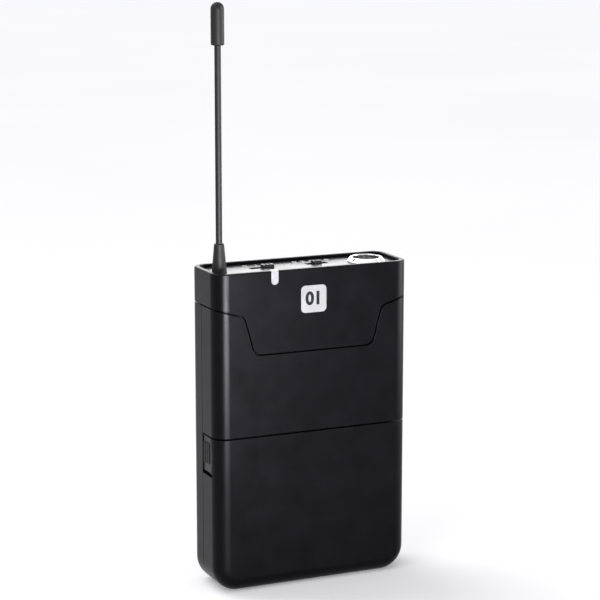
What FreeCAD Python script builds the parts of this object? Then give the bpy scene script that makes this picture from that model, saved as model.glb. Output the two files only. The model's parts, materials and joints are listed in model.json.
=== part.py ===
"""Wireless bodypack transmitter, with its battery bay, board, switches, audio socket, antenna and belt clip.

Millimetres, +Z up, +Y to the back, origin at the centre of the underside.
"""
import FreeCAD, Part
import math
import os

V = FreeCAD.Vector

# Casing
BODY_W = 61.6  # overall width
BODY_D = 19.8  # overall depth
BODY_H = 95.0  # underside to rim
EDGE_R = 4.25  # rounding of every long edge
BOTTOM_R = 7.5  # lower corners, seen from the front
WALL = 1.6  # outer skin
LIP = 0.8  # inner skin behind the cap and along the side seam
LIP_CLEAR = 0.1  # lip to the skin it slides into
INNER_T = 1.2  # ledges, bulkheads and tray walls
SEAM_Y = 1.1  # where the front pieces meet the rear shell
SEAM_GAP = 0.2  # width of the side seam
DOOR_TOP_Z = 46.5  # middle of the line between door and front shell
DOOR_GROOVE = 0.5  # width of that line
CAP_Z = 84.9  # underside of the cap at the sides and back
CAP_GAP = 0.4  # width of the line around the cap
SHOULDER_X = 21.7  # upper corners of the apron
SHOULDER_Z = 82.35
FOOT_X = 18.55  # lower corners of the apron
FOOT_Z = 70.8
SHOULDER_R = 2.8
FOOT_R = 3.0
LIP_TOP = 87.0  # lip inside the cap
LIP_FOOT = 76.0  # where the rear shell thickens into its lip
SIDE_LIP = 1.3  # reach of the front shell's lip behind the side seam
RIM_R = 0.35  # softened top rim

# Top plate
PLATE_DEPTH = 1.0  # plate below the rim
PLATE_T = 1.6
PLATE_CLEAR = 0.12
LEDGE = 1.0  # ledge the plate lies on
SLOT_W = 2.5  # switch slots, along Y
SLOT_Y = 1.6
POWER_SLOT_END = -7.8  # right-hand end of the power slot
GAIN_X = 5.95  # middle of the gain slot
POWER_KNOB_L = 3.5
GAIN_KNOB_L = 2.6
POWER_TRAVEL = 3.6  # on to off
GAIN_TRAVEL = 1.9  # each way from the middle
KNOB_RISE = 0.9  # knob above the plate
KNOB_CLEAR = 0.2  # knob to the sides of its slot
KNOB_END = 0.25  # knob to the end of its slot

# Status light and badge
LIGHT_X = -12.35
LIGHT_W = 2.2
LIGHT_Z = 90.9  # lower end of the light on the front
LIGHT_CLEAR = 0.05
LIGHT_LEG_T = 1.9
BADGE_SIZE = 8.0
BADGE_R = 1.3
BADGE_X = -0.1
BADGE_Z = 85.9
BADGE_T = 0.8
BADGE_CLEAR = 0.08

# Audio socket
SOCKET_X = 21.0
SOCKET_Y = -0.8
SOCKET_R = 4.14  # bore that the plug enters
SOCKET_NECK_R = 4.45
SOCKET_BODY_R = 5.2
SOCKET_FOOT_Z = 79.5
SOCKET_RIM = 1.2  # neck above the plate
SOCKET_BORE_L = 4.0  # plain bore above the latch groove
SOCKET_GROOVE = 1.0
SOCKET_GROOVE_R = 4.55
NUT_BASE_R = 5.7
NUT_TOP_R = 4.68
NUT_H = 1.3
NUT_NOTCH = 0.8
NUT_NOTCH_TURN = 20.0  # degrees from +X
PIN_R = 0.5
PIN_CIRCLE_R = 2.1
PIN_COUNT = 3
INSERT_TOP_Z = 85.0

# Antenna
ANTENNA_X = -25.9
ANTENNA_Y = -0.8
BOOT_R = 2.2
BOOT_TOP_R = 1.45
BOOT_TOP_Z = 102.45
WHIP_R = 0.95
TIP_R = 1.95
TIP_Z = 159.1
TIP_L = 12.15
TIP_WALL_ABOVE = 3.0  # solid rubber above the whip's end
FERRULE_R = 2.05
FERRULE_CLEAR = 0.1

# Battery bay
CELL_R = 7.25
CELL_L = 50.5
CELL_SLEEVE = 0.2
CELL_NUB_R = 2.7
CELL_NUB_L = 1.2
CELL_CLEAR = 0.25
CELL_LOWER_Z = 12.5
CELL_SPACING = 1.5  # between the two cells
SLEEVE_BARE = 0.4  # bare can at the flat end
SLEEVE_STEP = 0.1  # bare can at the raised end
CONTACT_T = 0.4
CONTACT_GAP = 0.2
CONTACT_HALF_W = 5.0
CONTACT_HALF_H = 5.5
CONTACT_SLOT = 0.3  # tray slot to each side of a contact
CONTACT_SPRING_R = 2.8
CONTACT_WIRE_R = 0.3
CONTACT_SPRING_TURNS = 2
CONTACT_SPRING_SEAT = 0.1
STRIP_W = 1.6  # strips that lead up to the board
TRAY_INNER = 26.9  # half width between the contact walls
TRAY_END = 0.8
TRAY_FLOOR_Z = 4.6
TRAY_SHELF_Z = 36.9
TRAY_RISE = 0.4  # tray roof above the latches
TRAY_SEAM_CLEAR = 0.3
TRAY_FRONT_Y = -7.8
TRAY_BACK_GAP = 0.1
PANEL_Y = -2.0
PANEL_X = 24.0
TRAY_TOP_X = 26.2
BUTTON_R = 2.0
BUTTON_CLEAR = 0.25
BUTTON_PRESS = 0.3
BUTTON_RISE = 0.8  # button in front of its panel
BUTTON_FLANGE = 0.6
BUTTON_FLANGE_R = 2.7
BUTTON_FLANGE_GAP = 0.3  # flange behind the panel
PLUNGER_GAP = 0.1
PLUNGER_L = 0.8
SWITCH_T = 2.0
FOAM_T = 0.7

# Door hinge
BARREL_R = 2.0
HINGE_PIN_R = 0.8
HINGE_RUN = 0.06
TIGHT = 0.02  # pressed and threaded fits
KNUCKLES_X = (-14.0, 0.0, 14.0)  # middle of each fixed knuckle
KNUCKLE_W = 6.0
KNUCKLE_CLEAR = 0.3
KNUCKLE_SWING = 1.2  # extra room in front of the barrel
HINGE_PIN_X = 20.0

# Door latches
LATCH_Y = -4.3  # front edge of the pad, at its ends
LATCH_BULGE = 1.6
LATCH_Z0 = 35.6
LATCH_CLEAR = 0.15  # pad to its opening
LATCH_SLOT = 1.0
LATCH_SLOT_Y = -6.2
LATCH_SINK = 0.3
LATCH_FLANGE = 0.8
LATCH_FLANGE_CLEAR = 0.25
LATCH_FLANGE_LIFT = 0.4  # flange above the tray's end walls
RIB_COUNT = 3
RIB_PITCH = 1.55
RIB_W = 0.6
RIB_Z = (38.1, 44.3)
LATCH_WALL_X = 25.1
LATCH_WALL_T = 0.8
LATCH_SPRING_R = 1.3
LATCH_SPRING_TURNS = 4
LATCH_SPRING_SEAT = 0.05  # gap at each end of the spring
SPRING_WIRE_R = 0.2
COIL_STEPS = 8  # bends in each turn of a spring
COIL_BEND = 0.9  # radius of each bend, to the coil's own

# Boards
BOARD_Y = 3.0
BOARD_T = 1.6
BOARD_X = 26.2
BOARD_Z = (49.5, 87.0)
TOP_BOARD_T = 1.2
SCREW_X = 23.6
SCREW_Z = (53.0, 72.5)
SCREW_R = 1.0
SCREW_HEAD_R = 1.9
SCREW_HEAD_T = 1.3
SCREW_SEAT = 2.4  # depth of the counterbore
POST_R = 3.0
BOSS_R = 2.3
SCREW_CLEAR = 0.15

# Belt clip
CLIP_R = 1.0
CLIP_X = 15.0
CLIP_PIVOT_Z = 78.0
CLIP_PIVOT_OUT = 3.0  # pivot behind the rear face
CLIP_GAP = 5.2  # belt space
CLIP_PINCH = 0.3
CLIP_PINCH_Z = 32.0
CLIP_FOOT_Z = 23.5
CLIP_FLARE = 3.2
CLIP_BEND = 1.8  # bend beside each ear
CLIP_RUN = 0.06
EAR_W = 3.6
EAR_H = 6.4
EAR_POKE = 0.6  # wire end past its ear

# Places worked out from the sizes above
HALF_W = BODY_W / 2
FRONT_Y = -BODY_D / 2
BACK_Y = BODY_D / 2
FAR = 200.0
PLATE_Z = BODY_H - PLATE_DEPTH
PLATE_FOOT = PLATE_Z - PLATE_T
FRONT_EDGE_Y = SEAM_Y - SEAM_GAP
HINGE_Y = FRONT_EDGE_Y - BARREL_R
HINGE_Z = BARREL_R
INNER_BACK_Y = BACK_Y - WALL
CELL_UPPER_Z = CELL_LOWER_Z + 2 * CELL_R + CELL_SPACING
TOP_BOARD_Z = BOARD_Z[1]
LATCH_TOP_Z = DOOR_TOP_Z - DOOR_GROOVE
TRAY_TOP_Z = LATCH_TOP_Z + TRAY_RISE
SKIN_X = HALF_W - WALL
SOCKET_TOP_Z = PLATE_Z + SOCKET_RIM
CLIP_PIVOT_Y = BACK_Y + CLIP_PIVOT_OUT
EAR_X = CLIP_X - CLIP_BEND - LIP_CLEAR
POWER_SLOT = (POWER_SLOT_END - POWER_KNOB_L - POWER_TRAVEL - 2 * KNOB_END, POWER_SLOT_END)
GAIN_REACH = GAIN_KNOB_L / 2 + GAIN_TRAVEL + KNOB_END
GAIN_SLOT = (GAIN_X - GAIN_REACH, GAIN_X + GAIN_REACH)


def box(x, y, z):
    """A block from three (low, high) pairs."""
    return Part.makeBox(x[1] - x[0], y[1] - y[0], z[1] - z[0], V(x[0], y[0], z[0]))


def rod_x(radius, x, y, z):
    return Part.makeCylinder(radius, x[1] - x[0], V(x[0], y, z), V(1, 0, 0))


def rod_y(radius, x, y, z):
    return Part.makeCylinder(radius, y[1] - y[0], V(x, y[0], z), V(0, 1, 0))


def rod_z(radius, x, y, z):
    return Part.makeCylinder(radius, z[1] - z[0], V(x, y, z[0]), V(0, 0, 1))


def join(shapes):
    return shapes[0].fuse(shapes[1:]).removeSplitter()


def mirrored(shape):
    return shape.mirror(V(0, 0, 0), V(1, 0, 0))


def both_sides(shape):
    return [shape, mirrored(shape)]


def round_wire(points, radii, closed):
    """Straight runs through the points, with a tangent arc of the given radius at each."""
    count = len(points)
    edges = []
    last = None
    first = None
    for i in range(count):
        here = points[i]
        inner = closed or 0 < i < count - 1
        if not inner or radii[i] == 0:
            start = end = here
            arc = None
        else:
            to_last = (points[i - 1] - here).normalize()
            to_next = (points[(i + 1) % count] - here).normalize()
            half = to_last.getAngle(to_next) / 2
            reach = radii[i] / math.tan(half)
            start = here + to_last * reach
            end = here + to_next * reach
            inward = (to_last + to_next).normalize()
            middle = here + inward * (radii[i] / math.sin(half) - radii[i])
            arc = Part.Arc(start, middle, end).toShape()
        if last is None:
            first = start
        elif last.distanceToPoint(start) > 1e-6:
            edges.append(Part.makeLine(last, start))
        if arc:
            edges.append(arc)
        last = end
    if closed and last.distanceToPoint(first) > 1e-6:
        edges.append(Part.makeLine(last, first))
    return Part.Wire(edges)


def prism(points, radii, along):
    return Part.Face(round_wire(points, radii, True)).extrude(along)


def turned(profile, x, y):
    """A solid of revolution about a vertical line, from (radius, z) corners."""
    points = [V(x + r, y, z) for r, z in profile]
    face = Part.Face(round_wire(points, [0] * len(points), True))
    return face.revolve(V(x, y, 0), V(0, 0, 1), 360)


def pipe(wire, radius, start, direction):
    section = Part.Wire(Part.makeCircle(radius, start, direction))
    return wire.makePipeShell([section], True, False)


def coil(radius, wire_radius, length, turns):
    """A compression spring standing on the origin along +Z, bent from short runs and tangent arcs."""
    steps = COIL_STEPS * turns
    points = []
    for i in range(steps + 1):
        turn = 2 * math.pi * i / COIL_STEPS
        points.append(V(radius * math.cos(turn), radius * math.sin(turn), length * i / steps))
    path = round_wire(points, [COIL_BEND * radius] * len(points), False)
    return pipe(path, wire_radius, points[0], points[1] - points[0])


def casing_form(inset, top=BODY_H):
    """The casing's outer form, shrunk by the inset: every skin and lip is a difference of two of these."""
    half_w = HALF_W - inset
    front = FRONT_Y + inset
    outline = [(-half_w, top), (-half_w, inset), (half_w, inset), (half_w, top)]
    corners = [V(x, front, z) for x, z in outline]
    corner_r = BOTTOM_R - inset
    solid = prism(corners, [0, corner_r, corner_r, 0], V(0, BODY_D - 2 * inset, 0))
    long_edges = []
    for edge in solid.Edges:
        bounds = edge.BoundBox
        flat = bounds.YLength < 1e-6
        if flat and bounds.ZMin < top - 1e-6:
            long_edges.append(edge)
    return solid.makeFillet(EDGE_R - inset, long_edges)


def skin(inset, thickness):
    """The layer of the casing between two insets, open at the top."""
    return casing_form(inset).cut(casing_form(inset + thickness, BODY_H + 1))


def seam_height(x):
    """The cap's lower line on the front, outside the apron."""
    slope = (CAP_Z - SHOULDER_Z) / (HALF_W - SHOULDER_X)
    return SHOULDER_Z + slope * (x - SHOULDER_X)


def cap_region(gap):
    """All that belongs to the cap, grown downwards by the gap: its front is the apron."""
    out = HALF_W + 2
    front = FRONT_Y - 1
    foot = FOOT_Z - gap
    side = gap * (SHOULDER_Z - FOOT_Z) / math.hypot(SHOULDER_Z - FOOT_Z, SHOULDER_X - FOOT_X)
    right = [
        (out, BODY_H + 5, 0),
        (out, seam_height(out) - gap, 0),
        (SHOULDER_X + side, SHOULDER_Z - gap, SHOULDER_R),
        (FOOT_X + side, foot, FOOT_R),
    ]
    outline = right + [(-x, z, r) for x, z, r in reversed(right)]
    points = [V(x, front, z) for x, z, r in outline]
    radii = [r for x, z, r in outline]
    apron = prism(points, radii, V(0, EDGE_R + 1, 0))
    rest = box((-FAR, FAR), (FRONT_Y + EDGE_R - 0.01, FAR), (CAP_Z - gap, FAR))
    return join([apron, rest])


def front_part(z):
    return box((-FAR, FAR), (-FAR, FRONT_EDGE_Y), z)


def rear_part(z):
    return box((-FAR, FAR), (SEAM_Y, FAR), z)


def top_cap():
    ring = skin(0, WALL).common(cap_region(0))
    ledge = skin(WALL, LEDGE).common(box((-FAR, FAR), (-FAR, FAR), (PLATE_FOOT - INNER_T, PLATE_FOOT)))
    cap = join([ring, ledge])
    cap = cap.cut(light_front(LIGHT_CLEAR))
    cap = cap.cut(light_leg(LIGHT_CLEAR))
    cap = cap.cut(badge_block(BADGE_CLEAR))
    cap = cap.cut(rod_z(FERRULE_R + FERRULE_CLEAR, ANTENNA_X, ANTENNA_Y, (0, PLATE_FOOT)))
    rim = []
    for edge in cap.Edges:
        bounds = edge.BoundBox
        beside_light = abs(bounds.Center.x - LIGHT_X) < LIGHT_W and bounds.XLength < LIGHT_W
        near_light = beside_light and bounds.Center.y < 0
        if bounds.ZMin > BODY_H - 1e-4 and not near_light:
            rim.append(edge)
    return cap.makeFillet(RIM_R, rim)


def front_shell():
    bottom = DOOR_TOP_Z + DOOR_GROOVE / 2
    shell = skin(0, WALL + LIP).common(front_part((bottom, LIP_TOP)))
    behind_cap = cap_region(CAP_GAP).cut(casing_form(WALL + LIP_CLEAR, BODY_H + 9))
    shell = shell.cut(behind_cap)
    side_lip = skin(WALL + LIP_CLEAR, LIP - LIP_CLEAR)
    lip_y = (FRONT_EDGE_Y - 1, SEAM_Y + SIDE_LIP)
    side_lip = side_lip.common(box((-FAR, FAR), lip_y, (bottom, LIP_FOOT - LIP_CLEAR)))
    inside = casing_form(WALL + LIP / 2, BODY_H)
    floor = inside.common(front_part((bottom, bottom + INNER_T)))
    pieces = [shell, side_lip, floor]
    for z in SCREW_Z:
        boss = rod_y(BOSS_R, SCREW_X, (FRONT_Y + WALL, BOARD_Y), z)
        boss = boss.cut(rod_y(SCREW_R + TIGHT, SCREW_X, (FRONT_Y + WALL + LIP, BOARD_Y + 1), z))
        pieces += both_sides(boss)
    return join(pieces).cut(strip_slot())


def rear_shell():
    thin = skin(0, WALL).common(rear_part((-1, LIP_FOOT)))
    thick = skin(0, WALL + LIP).common(rear_part((LIP_FOOT, LIP_TOP)))
    behind_cap = cap_region(CAP_GAP).cut(casing_form(WALL + LIP_CLEAR, BODY_H + 9))
    shell = join([thin, thick]).cut(behind_cap)
    inside = casing_form(WALL / 2, BODY_H)
    bottom = DOOR_TOP_Z + DOOR_GROOVE / 2
    wall_front = SEAM_Y + SIDE_LIP + LIP_CLEAR
    bulkhead = inside.common(box((-FAR, FAR), (wall_front, FAR), (bottom, bottom + INNER_T)))
    pieces = [shell, bulkhead.cut(strip_slot())] + bay_lips() + clip_ears() + fixed_knuckles()
    shell = join(pieces + screw_posts())
    for z in SCREW_Z:
        for side in (-1, 1):
            x = side * SCREW_X
            shell = shell.cut(rod_y(SCREW_HEAD_R + SCREW_CLEAR, x, (BACK_Y - SCREW_SEAT, FAR), z))
            shell = shell.cut(rod_y(SCREW_R + SCREW_CLEAR, x, (0, FAR), z))
    shell = shell.cut(rod_x(CLIP_R + CLIP_RUN, (-CLIP_X, CLIP_X), CLIP_PIVOT_Y, CLIP_PIVOT_Z))
    return shell.cut(rod_x(HINGE_PIN_R + TIGHT, (-HINGE_PIN_X, HINGE_PIN_X), HINGE_Y, HINGE_Z))


def bay_lips():
    """Lips that back the seam beside the door, between its hinge and its latches."""
    reach = 1.5
    z = (BOTTOM_R + reach, LATCH_Z0 - LATCH_SLOT - reach / 2)
    root = skin(WALL / 2, WALL / 2 + LIP).common(box((-FAR, FAR), (SEAM_Y, SEAM_Y + reach), z))
    clear = skin(WALL + 1.5 * LIP_CLEAR, LIP - 1.5 * LIP_CLEAR)
    tongue = clear.common(box((-FAR, FAR), (SEAM_Y - reach, SEAM_Y + 0.1), z))
    return [root, tongue]


def screw_posts():
    posts = []
    for z in SCREW_Z:
        posts += both_sides(rod_y(POST_R, SCREW_X, (BOARD_Y + BOARD_T, BACK_Y - WALL / 2), z))
    return posts


def clip_ears():
    """Two lugs on the back that hold the ends of the wire clip."""
    half = EAR_H / 2
    y = (BACK_Y - WALL / 2, CLIP_PIVOT_Y + half)
    ear = box((EAR_X - EAR_W, EAR_X), y, (CLIP_PIVOT_Z - half, CLIP_PIVOT_Z + half))
    back_edges = []
    for edge in ear.Edges:
        bounds = edge.BoundBox
        if bounds.XLength > EAR_W / 2 and bounds.YMin > BACK_Y:
            back_edges.append(edge)
    return both_sides(ear.makeFillet(half - 0.6, back_edges))


def fixed_knuckles():
    """Three knuckles of the rear shell, flush with the underside."""
    knuckles = []
    for middle in KNUCKLES_X:
        x = (middle - KNUCKLE_W / 2, middle + KNUCKLE_W / 2)
        knuckles.append(rod_x(BARREL_R, x, HINGE_Y, HINGE_Z))
        knuckles.append(box(x, (HINGE_Y, SEAM_Y + WALL), (0, HINGE_Z + WALL / 2)))
    return knuckles


def strip_slot():
    """Way up for the two contact strips, beside the board."""
    z = DOOR_TOP_Z + DOOR_GROOVE / 2
    x = (TRAY_INNER - CONTACT_T - CONTACT_SLOT, TRAY_INNER + CONTACT_SLOT)
    return box(x, (BOARD_Y - 0.4, BOARD_Y + BOARD_T + 2.2), (z - 1, z + INNER_T + 1))


def latch_outline(grow):
    """The pad's outline on the right-hand side, as corners and the arc of its front edge."""
    x = HALF_W + 1
    z0 = LATCH_Z0 - grow
    z1 = LATCH_TOP_Z + grow
    rear = FRONT_EDGE_Y + grow
    front = LATCH_Y - grow
    low = V(x, front, z0)
    high = V(x, front, z1)
    arc = Part.Arc(high, V(x, front - LATCH_BULGE, (z0 + z1) / 2), low).toShape()
    bottom = Part.makeLine(low, V(x, rear, z0))
    back = Part.makeLine(V(x, rear, z0), V(x, rear, z1))
    top = Part.makeLine(V(x, rear, z1), high)
    return Part.Face(Part.Wire([arc, bottom, back, top]))


def latch_block(grow, depth):
    return latch_outline(grow).extrude(V(-depth, 0, 0))


def latch():
    """Right-hand latch: ribbed pad, retaining flange and the leg that reaches its catch."""
    pad_inner = SKIN_X - LATCH_FLANGE_CLEAR
    pad = casing_form(LATCH_SINK).common(latch_block(0, 1 + HALF_W - pad_inner))
    ribs = []
    middle = (LATCH_Y + FRONT_EDGE_Y) / 2
    for i in range(RIB_COUNT):
        y = middle + (i - (RIB_COUNT - 1) / 2) * RIB_PITCH
        ribs.append(box((pad_inner, HALF_W), (y - RIB_W / 2, y + RIB_W / 2), RIB_Z))
    flange_x = (pad_inner - LATCH_FLANGE, pad_inner)
    flange_y = (LATCH_Y - LATCH_BULGE - 1, FRONT_EDGE_Y - 0.2)
    flange = box(flange_x, flange_y, (TRAY_SHELF_Z + LATCH_FLANGE_LIFT, LATCH_TOP_Z - 1.2))
    flange = flange.common(casing_form(WALL + LATCH_FLANGE_CLEAR))
    leg_x = (flange_x[0], flange_x[0] + 0.6)
    leg = box(leg_x, (FRONT_EDGE_Y - 2, SEAM_Y + 3.3), (RIB_Z[0] + 0.4, RIB_Z[1] - 0.8))
    return join([pad] + ribs + [flange, leg])


def latch_spring_span():
    return LATCH_WALL_X + LATCH_WALL_T, SKIN_X - LATCH_FLANGE_CLEAR - LATCH_FLANGE


def latch_spring():
    low, high = latch_spring_span()
    length = high - low - 2 * (SPRING_WIRE_R + LATCH_SPRING_SEAT)
    spring = coil(LATCH_SPRING_R, SPRING_WIRE_R, length, LATCH_SPRING_TURNS)
    spring.rotate(V(0, 0, 0), V(0, 1, 0), 90)
    middle = (RIB_Z[0] + RIB_Z[1]) / 2
    spring.translate(V(low + SPRING_WIRE_R + LATCH_SPRING_SEAT, LATCH_Y + 0.8, middle))
    return spring


def battery_door():
    top = DOOR_TOP_Z - DOOR_GROOVE / 2
    door = skin(0, WALL).common(front_part((-1, top)))
    behind_axis = box((-FAR, FAR), (HINGE_Y, FAR), (-1, HINGE_Z))
    barrel = rod_x(BARREL_R, (-FAR, FAR), HINGE_Y, HINGE_Z)
    door = door.cut(behind_axis.cut(barrel))
    barrel_half = HALF_W - BOTTOM_R
    hinge = rod_x(BARREL_R, (-barrel_half, barrel_half), HINGE_Y, HINGE_Z)
    pieces = [door, hinge] + latch_walls()
    door = join(pieces)
    for cut in knuckle_notches() + both_sides(latch_opening()):
        door = door.cut(cut)
    return door.cut(rod_x(HINGE_PIN_R + HINGE_RUN, (-HINGE_PIN_X - 0.5, HINGE_PIN_X + 0.5), HINGE_Y, HINGE_Z))


def knuckle_notches():
    reach = KNUCKLE_W / 2 + KNUCKLE_CLEAR
    notch_y = (HINGE_Y - BARREL_R - KNUCKLE_SWING, FAR)
    notches = []
    for middle in KNUCKLES_X:
        notches.append(box((middle - reach, middle + reach), notch_y, (-1, 2 * BARREL_R + 1)))
    return notches


def latch_opening():
    """Room for the pad, and the slot under it."""
    slot = box((SKIN_X - 1, FAR), (LATCH_SLOT_Y, FAR), (LATCH_Z0 - LATCH_SLOT, LATCH_Z0))
    return join([slot, latch_block(LATCH_CLEAR, 1 + WALL + 1)])


def latch_walls():
    """Ribs inside the door that the latch springs push against."""
    y = (FRONT_Y + WALL / 2, LATCH_Y + 2.6)
    wall = box((LATCH_WALL_X, LATCH_WALL_X + LATCH_WALL_T), y, (RIB_Z[0] - 0.5, RIB_Z[1]))
    return both_sides(wall)


def door_hinge_pin():
    return rod_x(HINGE_PIN_R, (-HINGE_PIN_X, HINGE_PIN_X), HINGE_Y, HINGE_Z)


def door_foam():
    y = (FRONT_Y + WALL, FRONT_Y + WALL + FOAM_T)
    strips = []
    for z in (CELL_LOWER_Z, CELL_UPPER_Z):
        strips.append(box((-18, 18), y, (z - 4, z + 4)))
    return Part.makeCompound(strips)


def battery_tray():
    """Cradle for two cells, with the control panel above them."""
    back = INNER_BACK_Y - TRAY_BACK_GAP
    half = TRAY_INNER + TRAY_END
    cradle_y = (SEAM_Y + TRAY_SEAM_CLEAR, back)
    cradle = box((-TRAY_INNER, TRAY_INNER), cradle_y, (TRAY_FLOOR_Z, TRAY_SHELF_Z + INNER_T))
    end = box((TRAY_INNER, half), (TRAY_FRONT_Y, back), (TRAY_FLOOR_Z, TRAY_SHELF_Z))
    shelf = box((-PANEL_X, PANEL_X), (PANEL_Y, back), (TRAY_SHELF_Z, TRAY_SHELF_Z + INNER_T))
    roof = box((-TRAY_TOP_X, TRAY_TOP_X), (TRAY_FRONT_Y, back), (TRAY_TOP_Z - INNER_T, TRAY_TOP_Z))
    panel = box((-PANEL_X, PANEL_X), (PANEL_Y, PANEL_Y + INNER_T), (TRAY_SHELF_Z, TRAY_TOP_Z))
    wall = box((PANEL_X - INNER_T, PANEL_X), (PANEL_Y, back), (TRAY_SHELF_Z, TRAY_TOP_Z))
    tray = join([cradle, shelf, roof, panel] + both_sides(end) + both_sides(wall))
    for z in (CELL_LOWER_Z, CELL_UPPER_Z):
        tray = tray.cut(rod_x(CELL_R + CELL_CLEAR, (-TRAY_INNER, TRAY_INNER), 0, z))
    tray = tray.cut(rod_y(BUTTON_R + BUTTON_CLEAR, 0, (PANEL_Y - 1, PANEL_Y + INNER_T + 1), panel_middle()))
    strip_x = (TRAY_INNER - CONTACT_T - CONTACT_SLOT, TRAY_INNER)
    strips = box(strip_x, (0, back - 0.6), (TRAY_FLOOR_Z + 1, FAR))
    for each in both_sides(strips):
        tray = tray.cut(each)
    return tray.common(casing_form(WALL + TRAY_BACK_GAP))


def panel_middle():
    return (TRAY_SHELF_Z + TRAY_TOP_Z) / 2


def cell(z, side):
    """One cell's can; its raised end points to the given side."""
    tip = side * (TRAY_INNER - CONTACT_T - CONTACT_GAP)
    tail = tip - side * CELL_L
    can_end = tip - side * CELL_NUB_L
    can = rod_x(CELL_R - CELL_SLEEVE, (min(tail, can_end), max(tail, can_end)), 0, z)
    nub = rod_x(CELL_NUB_R, (min(can_end, tip), max(can_end, tip)), 0, z)
    return join([can, nub])


def cell_sleeve(z, side):
    tip = side * (TRAY_INNER - CONTACT_T - CONTACT_GAP)
    tail = tip - side * (CELL_L - SLEEVE_BARE)
    can_end = tip - side * (CELL_NUB_L + SLEEVE_STEP)
    span = (min(tail, can_end), max(tail, can_end))
    tube = rod_x(CELL_R, span, 0, z)
    return tube.cut(rod_x(CELL_R - CELL_SLEEVE, span, 0, z))


def contact_plate(z, side):
    inner = side * (TRAY_INNER - CONTACT_T)
    outer = side * TRAY_INNER
    return box((min(inner, outer), max(inner, outer)), (-CONTACT_HALF_W, CONTACT_HALF_W), z)


def contact_link():
    """Joins the two cells at the left-hand end."""
    return contact_plate((CELL_LOWER_Z - CONTACT_HALF_H, CELL_UPPER_Z + CONTACT_HALF_H), -1)


def contact_positive():
    plate = contact_plate((CELL_LOWER_Z - CONTACT_HALF_H, CELL_LOWER_Z + CONTACT_HALF_H), 1)
    y0 = BOARD_Y + BOARD_T + 0.6
    x = (TRAY_INNER - CONTACT_T, TRAY_INNER)
    foot = box(x, (4, y0 + STRIP_W), (CELL_LOWER_Z + 2, CELL_LOWER_Z + CONTACT_HALF_H))
    strip = box(x, (y0, y0 + STRIP_W), (CELL_LOWER_Z + 2, BOARD_Z[0] + 1))
    return join([plate, foot, strip])


def contact_negative():
    plate = contact_plate((CELL_UPPER_Z - CONTACT_HALF_H, CELL_UPPER_Z + CONTACT_HALF_H), 1)
    x = (TRAY_INNER - CONTACT_T, TRAY_INNER)
    strip = box(x, (BOARD_Y, BOARD_Y + STRIP_W), (CELL_UPPER_Z + 4, BOARD_Z[0] + 3))
    return join([plate, strip])


def contact_springs():
    """The coil behind each cell's flat end."""
    room = 2 * TRAY_INNER - 2 * CONTACT_T - CONTACT_GAP - CELL_L
    inset = CONTACT_WIRE_R + CONTACT_SPRING_SEAT
    springs = []
    for z, side in ((CELL_UPPER_Z, 1), (CELL_LOWER_Z, -1)):
        spring = coil(CONTACT_SPRING_R, CONTACT_WIRE_R, room - 2 * inset, CONTACT_SPRING_TURNS)
        spring.rotate(V(0, 0, 0), V(0, 1, 0), 90)
        spring.translate(V(TRAY_INNER - CONTACT_T - room + inset, 0, z))
        springs.append(spring if side > 0 else mirrored(spring))
    return Part.makeCompound(springs)


def pairing_button():
    z = panel_middle()
    flange_front = PANEL_Y + INNER_T + BUTTON_FLANGE_GAP
    cap = rod_y(BUTTON_R, 0, (PANEL_Y - BUTTON_RISE, flange_front + BUTTON_FLANGE / 2), z)
    flange = rod_y(BUTTON_FLANGE_R, 0, (flange_front, flange_front + BUTTON_FLANGE), z)
    return join([cap, flange])


def pairing_switch_front():
    return PANEL_Y + INNER_T + BUTTON_FLANGE_GAP + BUTTON_FLANGE + BUTTON_PRESS + PLUNGER_GAP


def pairing_switch():
    z = panel_middle()
    y = pairing_switch_front()
    plunger = rod_y(0.9, 0, (y, y + PLUNGER_L), z)
    body = box((-2.6, 2.6), (y + PLUNGER_L - 0.2, y + SWITCH_T), (z - 2.6, z + 2.6))
    return join([plunger, body])


def pairing_board():
    y = pairing_switch_front() + SWITCH_T
    top = TRAY_TOP_Z - INNER_T
    return box((-9, 9), (y, y + 1.0), (TRAY_SHELF_Z + INNER_T + 0.1, top - 0.1))


def plate_form(z):
    clear = casing_form(WALL + PLATE_CLEAR, BODY_H)
    return clear.common(box((-FAR, FAR), (-FAR, FAR), z))


def slot_hole(span):
    y = (SLOT_Y - SLOT_W / 2, SLOT_Y + SLOT_W / 2)
    return box(span, y, (PLATE_FOOT - 1, PLATE_Z + 1))


def top_plate():
    plate = plate_form((PLATE_FOOT, PLATE_Z))
    holes = [
        slot_hole(POWER_SLOT),
        slot_hole(GAIN_SLOT),
        rod_z(SOCKET_NECK_R + 0.1, SOCKET_X, SOCKET_Y, (0, FAR)),
        rod_z(BOOT_R + 0.1, ANTENNA_X, ANTENNA_Y, (0, FAR)),
        light_leg(LIGHT_CLEAR),
    ]
    for hole in holes:
        plate = plate.cut(hole)
    return plate


def light_front(clear):
    """The part of the light pipe that shows on the front, with its rounded foot."""
    half = LIGHT_W / 2 + clear
    foot = LIGHT_Z - clear
    x = (LIGHT_X - half, LIGHT_X + half)
    y = (FRONT_Y, FRONT_Y + WALL + 0.4)
    bar = box(x, y, (foot + half, BODY_H))
    return join([bar, rod_y(half, LIGHT_X, y, foot + half)])


def light_leg(clear):
    """The inner leg that carries light up from the board."""
    half = LIGHT_W / 2 + clear
    x = (LIGHT_X - half, LIGHT_X + half)
    y = (FRONT_Y + WALL - clear, FRONT_Y + WALL + LIGHT_LEG_T + clear)
    return box(x, y, (TOP_BOARD_Z + TOP_BOARD_T + 0.9, PLATE_Z))


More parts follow.
